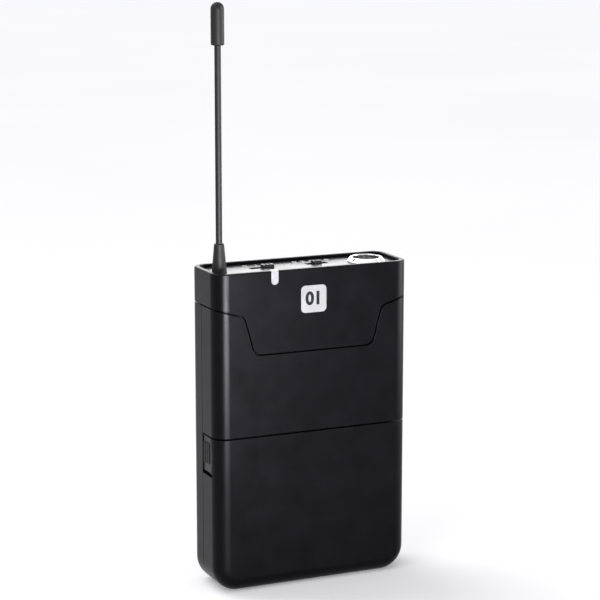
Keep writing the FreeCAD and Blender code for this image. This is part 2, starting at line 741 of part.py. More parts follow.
def light_pipe():
    pipe_form = join([light_front(0), light_leg(0)])
    top_edge = []
    for edge in pipe_form.Edges:
        bounds = edge.BoundBox
        at_top = bounds.ZMin > BODY_H - 1e-4
        if at_top and bounds.XLength > LIGHT_W / 2 and bounds.YMax < FRONT_Y + 0.01:
            top_edge.append(edge)
    return pipe_form.makeFillet(RIM_R, top_edge)


def status_led():
    z = TOP_BOARD_Z + TOP_BOARD_T
    y = FRONT_Y + WALL + 0.4
    return box((LIGHT_X - 0.8, LIGHT_X + 0.8), (y, y + 1.1), (z, z + 0.7))


def badge_block(clear):
    half = BADGE_SIZE / 2 + clear
    corners = [(-half, -half), (half, -half), (half, half), (-half, half)]
    points = [V(BADGE_X + x, FRONT_Y, BADGE_Z + z) for x, z in corners]
    return prism(points, [BADGE_R + clear] * 4, V(0, BADGE_T + clear, 0))


def badge():
    return badge_block(0)


def main_board():
    y = (BOARD_Y, BOARD_Y + BOARD_T)
    board = box((-BOARD_X, BOARD_X), y, BOARD_Z)
    board = board.cut(box((SOCKET_X - SOCKET_BODY_R - 0.6, FAR), y, (SOCKET_FOOT_Z - 1.5, FAR)))
    board = board.cut(box((-FAR, ANTENNA_X + 5), y, (TOP_BOARD_Z - 5, FAR)))
    for z in SCREW_Z:
        for x in (-SCREW_X, SCREW_X):
            board = board.cut(rod_y(SCREW_R + SCREW_CLEAR, x, y, z))
    return board


def top_board():
    """The small board that carries the two switches and the status light."""
    x = (POWER_SLOT[0] - 3.5, GAIN_SLOT[1] + 3.5)
    y = (FRONT_Y + WALL + LIP + 0.2, BACK_Y - WALL - LIP - 0.2)
    return box(x, y, (TOP_BOARD_Z, TOP_BOARD_Z + TOP_BOARD_T))


def switch_body(span):
    z0 = TOP_BOARD_Z + TOP_BOARD_T
    body = box((span[0] - 1, span[1] + 1), (SLOT_Y - 2.4, SLOT_Y + 2.4), (z0, PLATE_FOOT - 0.3))
    y = (SLOT_Y - SLOT_W / 2, SLOT_Y + SLOT_W / 2)
    return body.cut(box(span, y, (z0 + 1.2, FAR)))


def knob(x, length):
    """A slide knob with two grip grooves, standing up through its slot."""
    half_w = SLOT_W / 2 - KNOB_CLEAR
    y = (SLOT_Y - half_w, SLOT_Y + half_w)
    top = PLATE_Z + KNOB_RISE
    stem = box((x, x + length), y, (TOP_BOARD_Z + TOP_BOARD_T + 1.5, top))
    for i in (1, 2):
        middle = x + length * i / 3
        stem = stem.cut(box((middle - 0.25, middle + 0.25), (-FAR, FAR), (top - 0.45, FAR)))
    return stem


def power_knob():
    return knob(POWER_SLOT_END - KNOB_END - POWER_KNOB_L, POWER_KNOB_L)


def gain_knob():
    return knob(GAIN_X - GAIN_KNOB_L / 2, GAIN_KNOB_L)


def socket_shell():
    groove_z = SOCKET_TOP_Z - SOCKET_BORE_L
    outer = [(0, SOCKET_FOOT_Z), (SOCKET_BODY_R, SOCKET_FOOT_Z), (SOCKET_BODY_R, PLATE_FOOT)]
    outer += [(SOCKET_NECK_R, PLATE_FOOT), (SOCKET_NECK_R, SOCKET_TOP_Z), (0, SOCKET_TOP_Z)]
    shell = turned(outer, SOCKET_X, SOCKET_Y)
    bore = rod_z(SOCKET_R, SOCKET_X, SOCKET_Y, (SOCKET_FOOT_Z + 1, FAR))
    groove = rod_z(SOCKET_GROOVE_R, SOCKET_X, SOCKET_Y, (groove_z - SOCKET_GROOVE, groove_z))
    rear_hole = rod_z(SOCKET_R - 0.8, SOCKET_X, SOCKET_Y, (0, FAR))
    return shell.cut(bore).cut(groove).cut(rear_hole)


def pin_places():
    places = []
    for i in range(PIN_COUNT):
        turn = math.radians(90 + 360 * i / PIN_COUNT)
        places.append((SOCKET_X + PIN_CIRCLE_R * math.cos(turn), SOCKET_Y + PIN_CIRCLE_R * math.sin(turn)))
    return places


def socket_insert():
    disc = rod_z(SOCKET_R - 0.02, SOCKET_X, SOCKET_Y, (SOCKET_FOOT_Z + 1, INSERT_TOP_Z))
    for x, y in pin_places():
        disc = disc.cut(rod_z(PIN_R, x, y, (0, FAR)))
    return disc


def socket_pins():
    top = SOCKET_TOP_Z - SOCKET_BORE_L - SOCKET_GROOVE
    pins = []
    for x, y in pin_places():
        pin = rod_z(PIN_R, x, y, (SOCKET_FOOT_Z - 2.5, top))
        tip = [edge for edge in pin.Edges if edge.BoundBox.ZMin > top - 1e-4]
        pins.append(pin.makeFillet(PIN_R * 0.6, tip))
    return Part.makeCompound(pins)


def socket_nut():
    inner = SOCKET_NECK_R + TIGHT
    profile = [(inner, PLATE_Z), (NUT_BASE_R, PLATE_Z), (NUT_BASE_R, PLATE_Z + 0.25)]
    profile += [(NUT_TOP_R, PLATE_Z + NUT_H), (inner, PLATE_Z + NUT_H)]
    nut = turned(profile, SOCKET_X, SOCKET_Y)
    half = NUT_NOTCH / 2
    notch = box((-FAR, FAR), (-half, half), (PLATE_Z + 0.35, FAR))
    notch.rotate(V(0, 0, 0), V(0, 0, 1), NUT_NOTCH_TURN)
    notch.translate(V(SOCKET_X, SOCKET_Y, 0))
    return nut.cut(notch)


def antenna_boot():
    profile = [(WHIP_R, PLATE_FOOT), (BOOT_R, PLATE_FOOT), (BOOT_R, PLATE_Z)]
    profile += [(BOOT_TOP_R, BOOT_TOP_Z), (WHIP_R, BOOT_TOP_Z)]
    boot = turned(profile, ANTENNA_X, ANTENNA_Y)
    top_edges = [edge for edge in boot.Edges if edge.BoundBox.ZMin > BOOT_TOP_Z - 1e-4]
    outer = [edge for edge in top_edges if edge.BoundBox.XLength > 2 * WHIP_R + 0.1]
    return boot.makeFillet(0.25, outer)


def antenna_whip():
    return rod_z(WHIP_R, ANTENNA_X, ANTENNA_Y, (PLATE_FOOT - 2, TIP_Z + TIP_L - TIP_WALL_ABOVE))


def antenna_tip():
    top = TIP_Z + TIP_L
    tip = rod_z(TIP_R, ANTENNA_X, ANTENNA_Y, (TIP_Z, top - TIP_R))
    dome = Part.makeSphere(TIP_R, V(ANTENNA_X, ANTENNA_Y, top - TIP_R))
    tip = join([tip, dome])
    foot = [edge for edge in tip.Edges if edge.BoundBox.ZMax < TIP_Z + 1e-4]
    tip = tip.makeFillet(0.5, foot)
    return tip.cut(rod_z(WHIP_R, ANTENNA_X, ANTENNA_Y, (TIP_Z - 1, top - TIP_WALL_ABOVE)))


def antenna_ferrule():
    profile = [(WHIP_R, PLATE_FOOT - 2.4), (1.6, PLATE_FOOT - 2.4), (1.6, PLATE_FOOT - 1)]
    profile += [(FERRULE_R, PLATE_FOOT - 1), (FERRULE_R, PLATE_FOOT), (WHIP_R, PLATE_FOOT)]
    return turned(profile, ANTENNA_X, ANTENNA_Y)


def antenna_contact():
    """Leaf that joins the ferrule to the board."""
    top = PLATE_FOOT - 2.4
    x = (ANTENNA_X - 1, ANTENNA_X + 1)
    shelf = box(x, (ANTENNA_Y - 1, BOARD_Y), (top - 0.3, top))
    leg = box(x, (BOARD_Y - 0.3, BOARD_Y), (TOP_BOARD_Z - 9, top))
    return join([shelf, leg])


def rf_shield():
    y0 = BOARD_Y - 3.0
    can = box((-19, -3), (y0, BOARD_Y), (60, 80))
    return can.cut(box((-18.7, -3.3), (y0 + 0.3, BOARD_Y), (60.3, 79.7)))


def board_chips():
    """Audio converter, controller, power and memory chips on the front of the board."""
    chips = []
    for x, z, size, height in ((8, 62, 9, 1.2), (7, 76, 6, 1.0), (-12, 54.5, 5, 1.1), (18, 66, 5, 1.4)):
        half = size / 2
        chips.append(box((x - half, x + half), (BOARD_Y - height, BOARD_Y), (z - half, z + half)))
    return Part.makeCompound(chips)


def board_capacitors():
    cans = []
    for x, z in ((-1, 53.5), (5, 53.5), (11, 53.5)):
        cans.append(rod_y(2.4, x, (BOARD_Y - 5.5, BOARD_Y), z))
    return Part.makeCompound(cans)


def board_chip_parts():
    """Rows of small resistors and capacitors."""
    parts = []
    for row in range(3):
        for column in range(6):
            x = 14.5 + 1.8 * (column % 3)
            z = 56 + 1.4 * row + 15.5 * (column // 3)
            parts.append(box((x, x + 1.2), (BOARD_Y - 0.5, BOARD_Y), (z, z + 0.7)))
    return Part.makeCompound(parts)


def board_crystal():
    return box((0.0, 2.6), (BOARD_Y - 1.0, BOARD_Y), (68, 72.5))


def board_header():
    """Pins that join the top board to the main board."""
    pins = []
    for i in range(6):
        x = -4 + 2 * i
        pins.append(box((x - 0.3, x + 0.3), (BOARD_Y - 0.9, BOARD_Y), (TOP_BOARD_Z - 3.5, TOP_BOARD_Z)))
    body = box((-5.2, 7.2), (BOARD_Y - 2.4, BOARD_Y - 0.9), (TOP_BOARD_Z - 2.2, TOP_BOARD_Z))
    return join([body] + pins)


def housing_screws():
    seat = BACK_Y - SCREW_SEAT
    screws = []
    for z in SCREW_Z:
        for x in (-SCREW_X, SCREW_X):
            head = rod_y(SCREW_HEAD_R, x, (seat, seat + SCREW_HEAD_T), z)
            shank = rod_y(SCREW_R, x, (BOARD_Y - 7, seat), z)
            screw = join([head, shank])
            for across in ((1.2, 0.25), (0.25, 1.2)):
                drive_x = (x - across[0], x + across[0])
                drive_z = (z - across[1], z + across[1])
                screw = screw.cut(box(drive_x, (seat + SCREW_HEAD_T - 0.7, FAR), drive_z))
            screws.append(screw)
    return Part.makeCompound(screws)


def clip_points():
    """Left-hand half of the clip's centre line, from its end in the ear to the middle of the foot."""
    x = -CLIP_X
    end_x = -(EAR_X - EAR_W - EAR_POKE)
    leg_y = BACK_Y + CLIP_GAP + CLIP_R
    pinch_y = BACK_Y + CLIP_PINCH + CLIP_R
    flare_y = pinch_y + CLIP_FLARE
    return [
        (V(end_x, CLIP_PIVOT_Y, CLIP_PIVOT_Z), 0),
        (V(x, CLIP_PIVOT_Y, CLIP_PIVOT_Z), CLIP_BEND),
        (V(x, leg_y, CLIP_PIVOT_Z - 9), 6.0),
        (V(x, leg_y, CLIP_PINCH_Z + 13), 8.0),
        (V(x, pinch_y, CLIP_PINCH_Z), 5.0),
        (V(x, flare_y, CLIP_FOOT_Z), 4.0),
    ]


def belt_clip():
    left = clip_points()
    right = [(V(-p.x, p.y, p.z), r) for p, r in reversed(left)]
    route = left + right
    wire = round_wire([p for p, r in route], [r for p, r in route], False)
    clip = pipe(wire, CLIP_R, route[0][0], V(1, 0, 0))
    print("belt clip volume ratio", clip.Volume / (math.pi * CLIP_R**2 * wire.Length))
    return clip


NODES = {
    "top_cap": top_cap,
    "top_plate": top_plate,
    "light_pipe": light_pipe,
    "badge": badge,
    "front_shell": front_shell,
    "rear_shell": rear_shell,
    "battery_door": battery_door,
    "door_hinge_pin": door_hinge_pin,
    "door_foam": door_foam,
    "latch_left": lambda: mirrored(latch()),
    "latch_right": latch,
    "latch_spring_left": lambda: mirrored(latch_spring()),
    "latch_spring_right": latch_spring,
    "battery_tray": battery_tray,
    "battery_upper": lambda: cell(CELL_UPPER_Z, -1),
    "battery_upper_sleeve": lambda: cell_sleeve(CELL_UPPER_Z, -1),
    "battery_lower": lambda: cell(CELL_LOWER_Z, 1),
    "battery_lower_sleeve": lambda: cell_sleeve(CELL_LOWER_Z, 1),
    "contact_link": contact_link,
    "contact_positive": contact_positive,
    "contact_negative": contact_negative,
    "contact_springs": contact_springs,
    "pairing_button": pairing_button,
    "pairing_switch": pairing_switch,
    "pairing_board": pairing_board,
    "main_board": main_board,
    "top_board": top_board,
    "rf_shield": rf_shield,
    "board_chips": board_chips,
    "board_capacitors": board_capacitors,
    "board_chip_parts": board_chip_parts,
    "board_crystal": board_crystal,
    "board_header": board_header,
    "status_led": status_led,
    "power_switch_body": lambda: switch_body(POWER_SLOT),
    "power_knob": power_knob,
    "gain_switch_body": lambda: switch_body(GAIN_SLOT),
    "gain_knob": gain_knob,
    "socket_shell": socket_shell,
    "socket_insert": socket_insert,
    "socket_pins": socket_pins,
    "socket_nut": socket_nut,
    "antenna_boot": antenna_boot,
    "antenna_whip": antenna_whip,
    "antenna_tip": antenna_tip,
    "antenna_ferrule": antenna_ferrule,
    "antenna_contact": antenna_contact,
    "housing_screws": housing_screws,
    "belt_clip": belt_clip,
}


def main():
    os.makedirs("parts", exist_ok=True)
    for name, make in NODES.items():
        shape = make()
        shape.exportStep("parts/" + name + ".step")
        print(name, len(shape.Solids), "solids", round(shape.Volume, 1), "mm3", shape.isValid())


main()
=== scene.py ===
"""Looks of the wireless bodypack transmitter: procedural finishes, printed marks, studio and camera."""
import bpy
import json
import math
from mathutils import Matrix, Vector

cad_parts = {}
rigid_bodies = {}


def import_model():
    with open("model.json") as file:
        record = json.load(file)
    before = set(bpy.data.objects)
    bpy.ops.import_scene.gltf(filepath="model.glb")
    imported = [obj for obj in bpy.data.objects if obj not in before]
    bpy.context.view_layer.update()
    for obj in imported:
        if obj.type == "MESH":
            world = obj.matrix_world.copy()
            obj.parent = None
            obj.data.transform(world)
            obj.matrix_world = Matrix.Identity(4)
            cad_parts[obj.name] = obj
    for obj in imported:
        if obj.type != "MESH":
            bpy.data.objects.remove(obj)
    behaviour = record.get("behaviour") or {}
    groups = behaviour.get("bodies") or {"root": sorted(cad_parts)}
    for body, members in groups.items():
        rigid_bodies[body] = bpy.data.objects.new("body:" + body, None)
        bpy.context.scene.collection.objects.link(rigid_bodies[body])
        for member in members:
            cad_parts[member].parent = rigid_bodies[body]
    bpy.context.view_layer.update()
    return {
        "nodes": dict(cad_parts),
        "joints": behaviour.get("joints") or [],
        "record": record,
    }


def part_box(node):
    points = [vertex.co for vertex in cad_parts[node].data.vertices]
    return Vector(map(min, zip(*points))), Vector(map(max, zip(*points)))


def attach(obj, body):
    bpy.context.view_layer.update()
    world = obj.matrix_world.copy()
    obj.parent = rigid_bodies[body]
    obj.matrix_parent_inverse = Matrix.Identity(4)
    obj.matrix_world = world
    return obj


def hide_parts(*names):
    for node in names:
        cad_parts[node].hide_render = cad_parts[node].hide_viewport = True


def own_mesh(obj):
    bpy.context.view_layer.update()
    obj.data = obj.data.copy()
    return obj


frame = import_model()
NODES = frame["nodes"]
MM = 0.001

# Camera, in the model's frame
CAMERA_AZIMUTH = -24.2
CAMERA_ELEVATION = 11.14
CAMERA_DISTANCE = 0.616
CAMERA_TARGET = Vector((-0.00005, 0.00002, 0.08372))
CAMERA_LENS = 125.67

# Sizes of the small printed pieces
INK_T = 0.02 * MM
LEGEND_SIZE = 2.6 * MM
LEGEND_WEIGHT = 0.05 * MM
LEGEND_GAP = 1.9 * MM  # switch to its row of numbers
POWER_REACH = 3.6 * MM  # middle of the power numbers to the first and the last
GAIN_REACH = 5.2 * MM
TICK_SIZE = (1.3 * MM, 0.28 * MM)
TICK_GAP = 1.0 * MM
TICK_CORNER = 0.1 * MM
BADGE_NUMBER_SIZE = 5.2 * MM
BADGE_NUMBER_WEIGHT = 0.22 * MM
BADGE_PROUD = 0.002 * MM
LABEL_SIZE = (24 * MM, 13 * MM)
LABEL_CORNER = 1.2 * MM
LABEL_Z = 52 * MM
LABEL_T = 0.12 * MM

# Latch springs
SPRING_WIRE = 0.2 * MM
SPRING_TURNS = 4
SPRING_STEPS = 24  # points in each turn

# Studio, in metres: each light's place, the point it faces, its size and its power in watts
KEY_LEFT = ((-0.55, -0.35, 0.45), (0, 0, 0.06), (0.5, 0.5), 1.6)
TOP_SOFT = ((0.05, -0.1, 0.75), (0, 0, 0.09), (0.6, 0.6), 0.5)
CORNER_STRIP = ((-0.05, -0.30, 0.045), (-0.03, 0, 0.045), (0.16, 0.085), 3.7)
RIGHT_STRIP = ((0.29, -0.11, 0.14), (0.03, 0, 0.06), (0.26, 0.4), 2.6)
BACK_PANEL = ((0.25, 0.5, 0.16), (0.0, 0, 0.09), (0.6, 0.3), 1.6)
SUN_STRENGTH = 1.35
SUN_TURN = (math.radians(-30), math.radians(-20), 0)
SUN_SPREAD = math.radians(40)
WORLD_LIGHT = (0.5, 0.5, 0.52, 1)
FLOOR_REACH = 12.0
FLOOR_DROP = 0.02 * MM
FLOOR_LIFT = 0.22  # glow of the floor where it is looked at, so that it shows nearly white


# ---------------------------------------------------------------- materials

class Shader:
    """A material being built: a Principled surface and short ways to add nodes to it."""

    def __init__(self, name):
        self.material = bpy.data.materials.new(name)
        self.material.use_nodes = True
        self.tree = self.material.node_tree
        self.surface = self.tree.nodes["Principled BSDF"]
        self.place = self.node("ShaderNodeTexCoord").outputs["Object"]

    def node(self, kind, inputs=None, **settings):
        made = self.tree.nodes.new(kind)
        for key, value in settings.items():
            setattr(made, key, value)
        for key, value in (inputs or {}).items():
            if isinstance(value, bpy.types.NodeSocket):
                self.tree.links.new(value, made.inputs[key])
            else:
                made.inputs[key].default_value = value
        return made

    def link(self, output, name):
        self.tree.links.new(output, self.surface.inputs[name])

    def set(self, **values):
        for key, value in values.items():
            self.surface.inputs[key.replace("_", " ")].default_value = value

    def stretched(self, scale):
        return self.node("ShaderNodeMapping", {"Vector": self.place, "Scale": scale}).outputs["Vector"]

    def noise(self, size, detail=3.0, vector=None):
        inputs = {"Vector": vector or self.place, "Scale": 1 / size, "Detail": detail, "Roughness": 0.55}
        return self.node("ShaderNodeTexNoise", inputs).outputs["Fac"]

    def spread(self, value, low, high, start=0.3, end=0.7):
        inputs = {"Value": value, "From Min": start, "From Max": end, "To Min": low, "To Max": high}
        return self.node("ShaderNodeMapRange", inputs).outputs["Result"]

    def mix(self, factor, low, high):
        made = self.node("ShaderNodeMix", data_type="RGBA")
        for index, value in ((0, factor), (6, low), (7, high)):
            if isinstance(value, bpy.types.NodeSocket):
                self.tree.links.new(value, made.inputs[index])
            else:
                made.inputs[index].default_value = value if index == 0 else (*value, 1)
        return made.outputs[2]

    def bump(self, height, depth, normal=None):
        inputs = {"Height": height, "Distance": depth}
        if normal:
            inputs["Normal"] = normal
        return self.node("ShaderNodeBump", inputs).outputs["Normal"]

    def math(self, operation, a, b=0.0):
        return self.node("ShaderNodeMath", {0: a, 1: b}, operation=operation).outputs[0]

    def edges(self, radius):
        """A mask that is 1 on edges, and the softened normal that it came from."""
        soft = self.node("ShaderNodeBevel", {"Radius": radius}, samples=4).outputs["Normal"]
        sharp = self.node("ShaderNodeNewGeometry").outputs["Normal"]
        dot = self.node("ShaderNodeVectorMath", {0: soft, 1: sharp}, operation="DOT_PRODUCT").outputs["Value"]
        return self.spread(dot, 1.0, 0.0, 0.75, 0.99), soft


SPECULAR_TINT = (0.95, 0.92, 1.0, 1.0)  # the faint violet of the black mouldings


def shade(color, factor):
    return tuple(min(1.0, c * factor) for c in color)


def moulded(name, color, roughness=0.42, specular=0.5, grain=0.16 * MM, depth=0.006 * MM, wear=0.35):
    """Moulded plastic: fine eroded texture, patchy gloss and edges rubbed a little brighter."""
    s = Shader(name)
    fine = s.noise(grain, 4)
    patch = s.noise(9 * MM, 3)
    edge, soft = s.edges(0.25 * MM)
    rubbed = s.math("MULTIPLY", edge, s.spread(s.noise(2.5 * MM, 4), 0.0, wear, 0.35, 0.7))
    base = s.mix(s.spread(patch, 0.0, 1.0), shade(color, 0.85), shade(color, 1.15))
    s.link(s.mix(rubbed, base, shade(color, 3.0)), "Base Color")
    smear = s.noise(14 * MM, 5, s.stretched((1.0, 1.0, 0.35)))
    gloss = s.math("ADD", patch, s.math("MULTIPLY", smear, 0.6))
    s.link(s.spread(gloss, roughness - 0.04, roughness + 0.05, 0.5, 1.1), "Roughness")
    s.link(s.bump(fine, depth, soft), "Normal")
    s.set(Specular_IOR_Level=specular, Specular_Tint=SPECULAR_TINT)
    return s.material


def metal(name, color, roughness=0.22, stretch=(1, 1, 1), grain=0.25 * MM, depth=0.003 * MM, tarnish=0.15):
    """Plated or brushed metal; stretch below 1 draws the grain out along that axis."""
    s = Shader(name)
    lines = s.noise(grain, 3, s.stretched(stretch))
    patch = s.noise(4 * MM, 4)
    edge, soft = s.edges(0.12 * MM)
    dull = s.mix(s.spread(patch, 0.0, tarnish), color, shade(color, 0.45))
    s.link(s.mix(s.math("MULTIPLY", edge, 0.5), dull, shade(color, 1.2)), "Base Color")
    s.link(s.spread(s.math("ADD", lines, patch), roughness - 0.06, roughness + 0.1, 0.7, 1.3), "Roughness")
    s.link(s.bump(lines, depth, soft), "Normal")
    s.set(Metallic=1.0)
    return s.material


def rubber(name, color, roughness=0.55):
    """Moulded antenna rubber: matt, with a soft sheen and dust in the pores."""
    s = Shader(name)
    pores = s.noise(0.12 * MM, 5)
    dust = s.spread(s.noise(3 * MM, 5), 0.0, 0.5, 0.45, 0.8)
    s.link(s.mix(dust, color, shade(color, 1.5)), "Base Color")
    s.link(s.spread(pores, roughness - 0.06, roughness + 0.08), "Roughness")
    s.link(s.bump(pores, 0.003 * MM), "Normal")
    s.set(Specular_IOR_Level=0.18)
    return s.material


def lit_plastic(name, color, glow):
    """The status light: milky plastic, brighter inside than at its rim."""
    s = Shader(name)
    cloud = s.noise(0.8 * MM, 3)
    edge, soft = s.edges(0.3 * MM)
    s.link(s.mix(s.spread(cloud, 0.0, 1.0), shade(color, 0.94), color), "Base Color")
    s.link(s.mix(edge, color, shade(color, 0.8)), "Emission Color")
    s.link(s.spread(cloud, 0.2, 0.32), "Roughness")
    s.link(s.bump(cloud, 0.004 * MM, soft), "Normal")
    s.set(Emission_Strength=glow, Subsurface_Weight=0.1, Subsurface_Scale=0.001)
    return s.material


def ink(name, color, specular=0.5):
    """Pad printing: slightly uneven, with pinholes."""
    s = Shader(name)
    holes = s.spread(s.noise(0.09 * MM, 3), 0.0, 1.0, 0.3, 0.45)
    s.link(s.mix(holes, shade(color, 0.5), color), "Base Color")
    s.link(s.spread(s.noise(0.3 * MM, 3), 0.4, 0.6), "Roughness")
    s.link(s.bump(holes, 0.004 * MM), "Normal")
    s.set(Specular_IOR_Level=specular)
    return s.material


def circuit_board(name):
    """Solder mask over tracks, with tinned pads."""
    s = Shader(name)
    bricks = {"Vector": s.place, "Scale": 260.0, "Mortar Size": 0.035}
    tracks = s.node("ShaderNodeTexBrick", bricks).outputs["Fac"]
    cells = {"Vector": s.place, "Scale": 420.0, "Randomness": 0.35}
    pads = s.node("ShaderNodeTexVoronoi", cells).outputs["Distance"]
    pad = s.spread(pads, 1.0, 0.0, 0.10, 0.14)
    mask = s.mix(tracks, (0.012, 0.10, 0.045), (0.03, 0.2, 0.09))
    s.link(s.mix(pad, mask, (0.7, 0.68, 0.6)), "Base Color")
    s.link(pad, "Metallic")
    s.link(s.spread(s.noise(1 * MM, 3), 0.25, 0.4), "Roughness")
    s.link(s.bump(tracks, 0.02 * MM), "Normal")
    return s.material


def cell_label(name):
    """Shrink sleeve: dark in the middle with fine printed lines, copper-coloured towards both ends."""
    s = Shader(name)
    x = s.node("ShaderNodeSeparateXYZ", {"Vector": s.place}).outputs["X"]
    band = s.spread(s.math("ABSOLUTE", x), 0.0, 1.0, 0.0148, 0.015)
    lines = s.node("ShaderNodeTexWave", {"Vector": s.place, "Scale": 160.0, "Distortion": 0.0}).outputs["Fac"]
    dark = s.mix(s.spread(lines, 0.0, 1.0, 0.9, 0.98), (0.012, 0.014, 0.02), (0.05, 0.055, 0.07))
    s.link(s.mix(band, dark, (0.42, 0.2, 0.08)), "Base Color")
    s.link(s.spread(band, 0.0, 0.6, 0.0, 1.0), "Metallic")
    s.link(s.spread(s.noise(3 * MM, 3), 0.2, 0.34), "Roughness")
    s.link(s.bump(s.noise(1.5 * MM, 3), 0.01 * MM), "Normal")
    return s.material


def foam(name, color):
    """Open-celled foam: matt, with painted shade in its pores."""
    s = Shader(name)
    cells = s.node("ShaderNodeTexVoronoi", {"Vector": s.place, "Scale": 2600.0}).outputs["Distance"]
    # painted shade: towards the pores the colour goes down to 0.3 of the foam's grey, and towards the cells'
    # middles it is painted up to 1.6
    s.link(s.mix(cells, shade(color, 1.6), shade(color, 0.3)), "Base Color")
    s.link(s.spread(cells, 0.85, 0.98, 0.0, 1.0), "Roughness")
    s.link(s.bump(cells, 0.08 * MM), "Normal")
    return s.material


CASING = (0.0022, 0.0021, 0.0034)
FINISHES = {
    "casing_black": moulded("casing_black", CASING, 0.3, 0.075),
    "plate_black": moulded(
        "plate_black", (0.022, 0.022, 0.024), 0.28, 0.6, grain=0.22 * MM, depth=0.012 * MM
    ),
    "latch_black": moulded("latch_black", (0.0055, 0.0055, 0.006), 0.36, 0.2),
    "light_white": lit_plastic("light_white", (0.8, 0.81, 0.86), 0.12),
    "badge_white": moulded("badge_white", (0.88, 0.88, 0.9), 0.35, 0.3, depth=0.002 * MM, wear=0.0),
    "steel_pin": metal("steel_pin", (0.6, 0.6, 0.62), 0.25, (0.1, 1, 1)),
    "screw_steel": metal("screw_steel", (0.13, 0.13, 0.14), 0.35),
    "clip_steel": metal("clip_steel", (0.62, 0.62, 0.64), 0.2, (1, 1, 0.12)),
    "spring_steel": metal("spring_steel", (0.6, 0.6, 0.6), 0.25),
    "foam_grey": foam("foam_grey", (0.06, 0.06, 0.065)),
    "tray_black": moulded("tray_black", (0.014, 0.014, 0.015), 0.5, 0.4, grain=0.3 * MM, depth=0.01 * MM),
    "cell_can": metal("cell_can", (0.66, 0.65, 0.6), 0.24),
    "cell_label": cell_label("cell_label"),
    "contact_nickel": metal("contact_nickel", (0.7, 0.67, 0.58), 0.28, (1, 1, 0.2)),
    "button_grey": moulded("button_grey", (0.3, 0.31, 0.33), 0.5, 0.5),
    "switch_black": moulded("switch_black", (0.02, 0.02, 0.02), 0.45, 0.5),
    "board_green": circuit_board("board_green"),
    "shield_tin": metal("shield_tin", (0.68, 0.69, 0.7), 0.3, (1, 1, 0.15)),
    "chip_black": moulded("chip_black", (0.012, 0.012, 0.012), 0.55, 0.4),
    "capacitor_can": metal("capacitor_can", (0.62, 0.63, 0.66), 0.3),
    "chip_tan": moulded("chip_tan", (0.28, 0.2, 0.12), 0.45, 0.5),
    "crystal_can": metal("crystal_can", (0.72, 0.72, 0.7), 0.25),
    "header_black": moulded("header_black", (0.014, 0.014, 0.014), 0.5, 0.5),
    "led_white": moulded("led_white", (0.8, 0.8, 0.72), 0.25, 0.5),
    "switch_metal": metal("switch_metal", (0.56, 0.56, 0.56), 0.32),
    "knob_black": moulded("knob_black", (0.012, 0.012, 0.013), 0.38, 0.6),
    "socket_chrome": metal("socket_chrome", (0.82, 0.82, 0.84), 0.12, (1, 1, 0.05), depth=0.002 * MM),
    "insert_black": moulded("insert_black", (0.01, 0.01, 0.01), 0.5, 0.4),
    "pin_gold": metal("pin_gold", (0.83, 0.62, 0.27), 0.18),
    "boot_rubber": rubber("boot_rubber", (0.012, 0.012, 0.013), 0.5),
    "whip_rubber": rubber("whip_rubber", (0.012, 0.012, 0.013), 0.48),
    "tip_rubber": rubber("tip_rubber", (0.012, 0.012, 0.013), 0.48),
    "ferrule_brass": metal("ferrule_brass", (0.75, 0.57, 0.27), 0.25),
    "print_white": ink("print_white", (0.88, 0.88, 0.88)),
    "print_black": ink("print_black", (0.008, 0.008, 0.01), 0.1),
    "label_silver": moulded("label_silver", (0.32, 0.32, 0.33), 0.38, 0.5, grain=0.5 * MM, wear=0.0),
}


def finish_nodes():
    """Gives every CAD node the finish that its slot names."""
    for part in frame["record"]["subparts"]:
        node = NODES[part["node"]]
        for index in range(len(node.material_slots)):
            node.material_slots[index].material = FINISHES[part["material_slot"]]


# ---------------------------------------------------------------- printed pieces

def mesh_of(curve):
    """The mesh of a curve or text as it is drawn."""
    drawn = bpy.data.objects.new(curve.name + "_drawn", curve)
    bpy.context.scene.collection.objects.link(drawn)
    mesh = bpy.data.meshes.new_from_object(drawn.evaluated_get(bpy.context.evaluated_depsgraph_get()))
    bpy.data.objects.remove(drawn)
    return mesh


def printed(name, body_text, place, size=LEGEND_SIZE, finish="print_white", weight=0.0):
    """Numbers printed on a face: drawn in their own XY plane, centred, then moved by the matrix."""
    curve = bpy.data.curves.new(name, "FONT")
    curve.body = body_text
    curve.size = size
    curve.align_x = "CENTER"
    curve.align_y = "CENTER"
    curve.extrude = INK_T / 2
    curve.offset = weight
    mesh = mesh_of(curve)
    mesh.transform(place)
    return placed(name, mesh, finish, "housing")


def placed(name, mesh, finish, body):
    """A new piece with this mesh and finish, riding on a body."""
    piece = bpy.data.objects.new(name, mesh)
    bpy.context.scene.collection.objects.link(piece)
    mesh.materials.clear()
    mesh.materials.append(FINISHES[finish])
    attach(piece, body)
    return piece


def rounded_plate(name, size, radius, thickness, place, finish, steps=6):
    """A thin plate with rounded corners, drawn in its own XY plane and moved by the matrix."""
    half = (size[0] / 2 - radius, size[1] / 2 - radius)
    rim = []
    for quarter, (sx, sy) in enumerate(((1, 1), (-1, 1), (-1, -1), (1, -1))):
        for step in range(steps + 1):
            turn = math.radians(90 * (quarter + step / steps))
            rim.append((sx * half[0] + radius * math.cos(turn), sy * half[1] + radius * math.sin(turn)))
    count = len(rim)
    verts = [(x, y, 0) for x, y in rim] + [(x, y, thickness) for x, y in rim]
    faces = [tuple(range(count - 1, -1, -1)), tuple(range(count, 2 * count))]
    for i in range(count):
        after = (i + 1) % count
        faces.append((i, after, count + after, count + i))
    mesh = bpy.data.meshes.new(name)
    mesh.from_pydata(verts, [], faces)
    mesh.transform(place)
    return placed(name, mesh, finish, "housing")


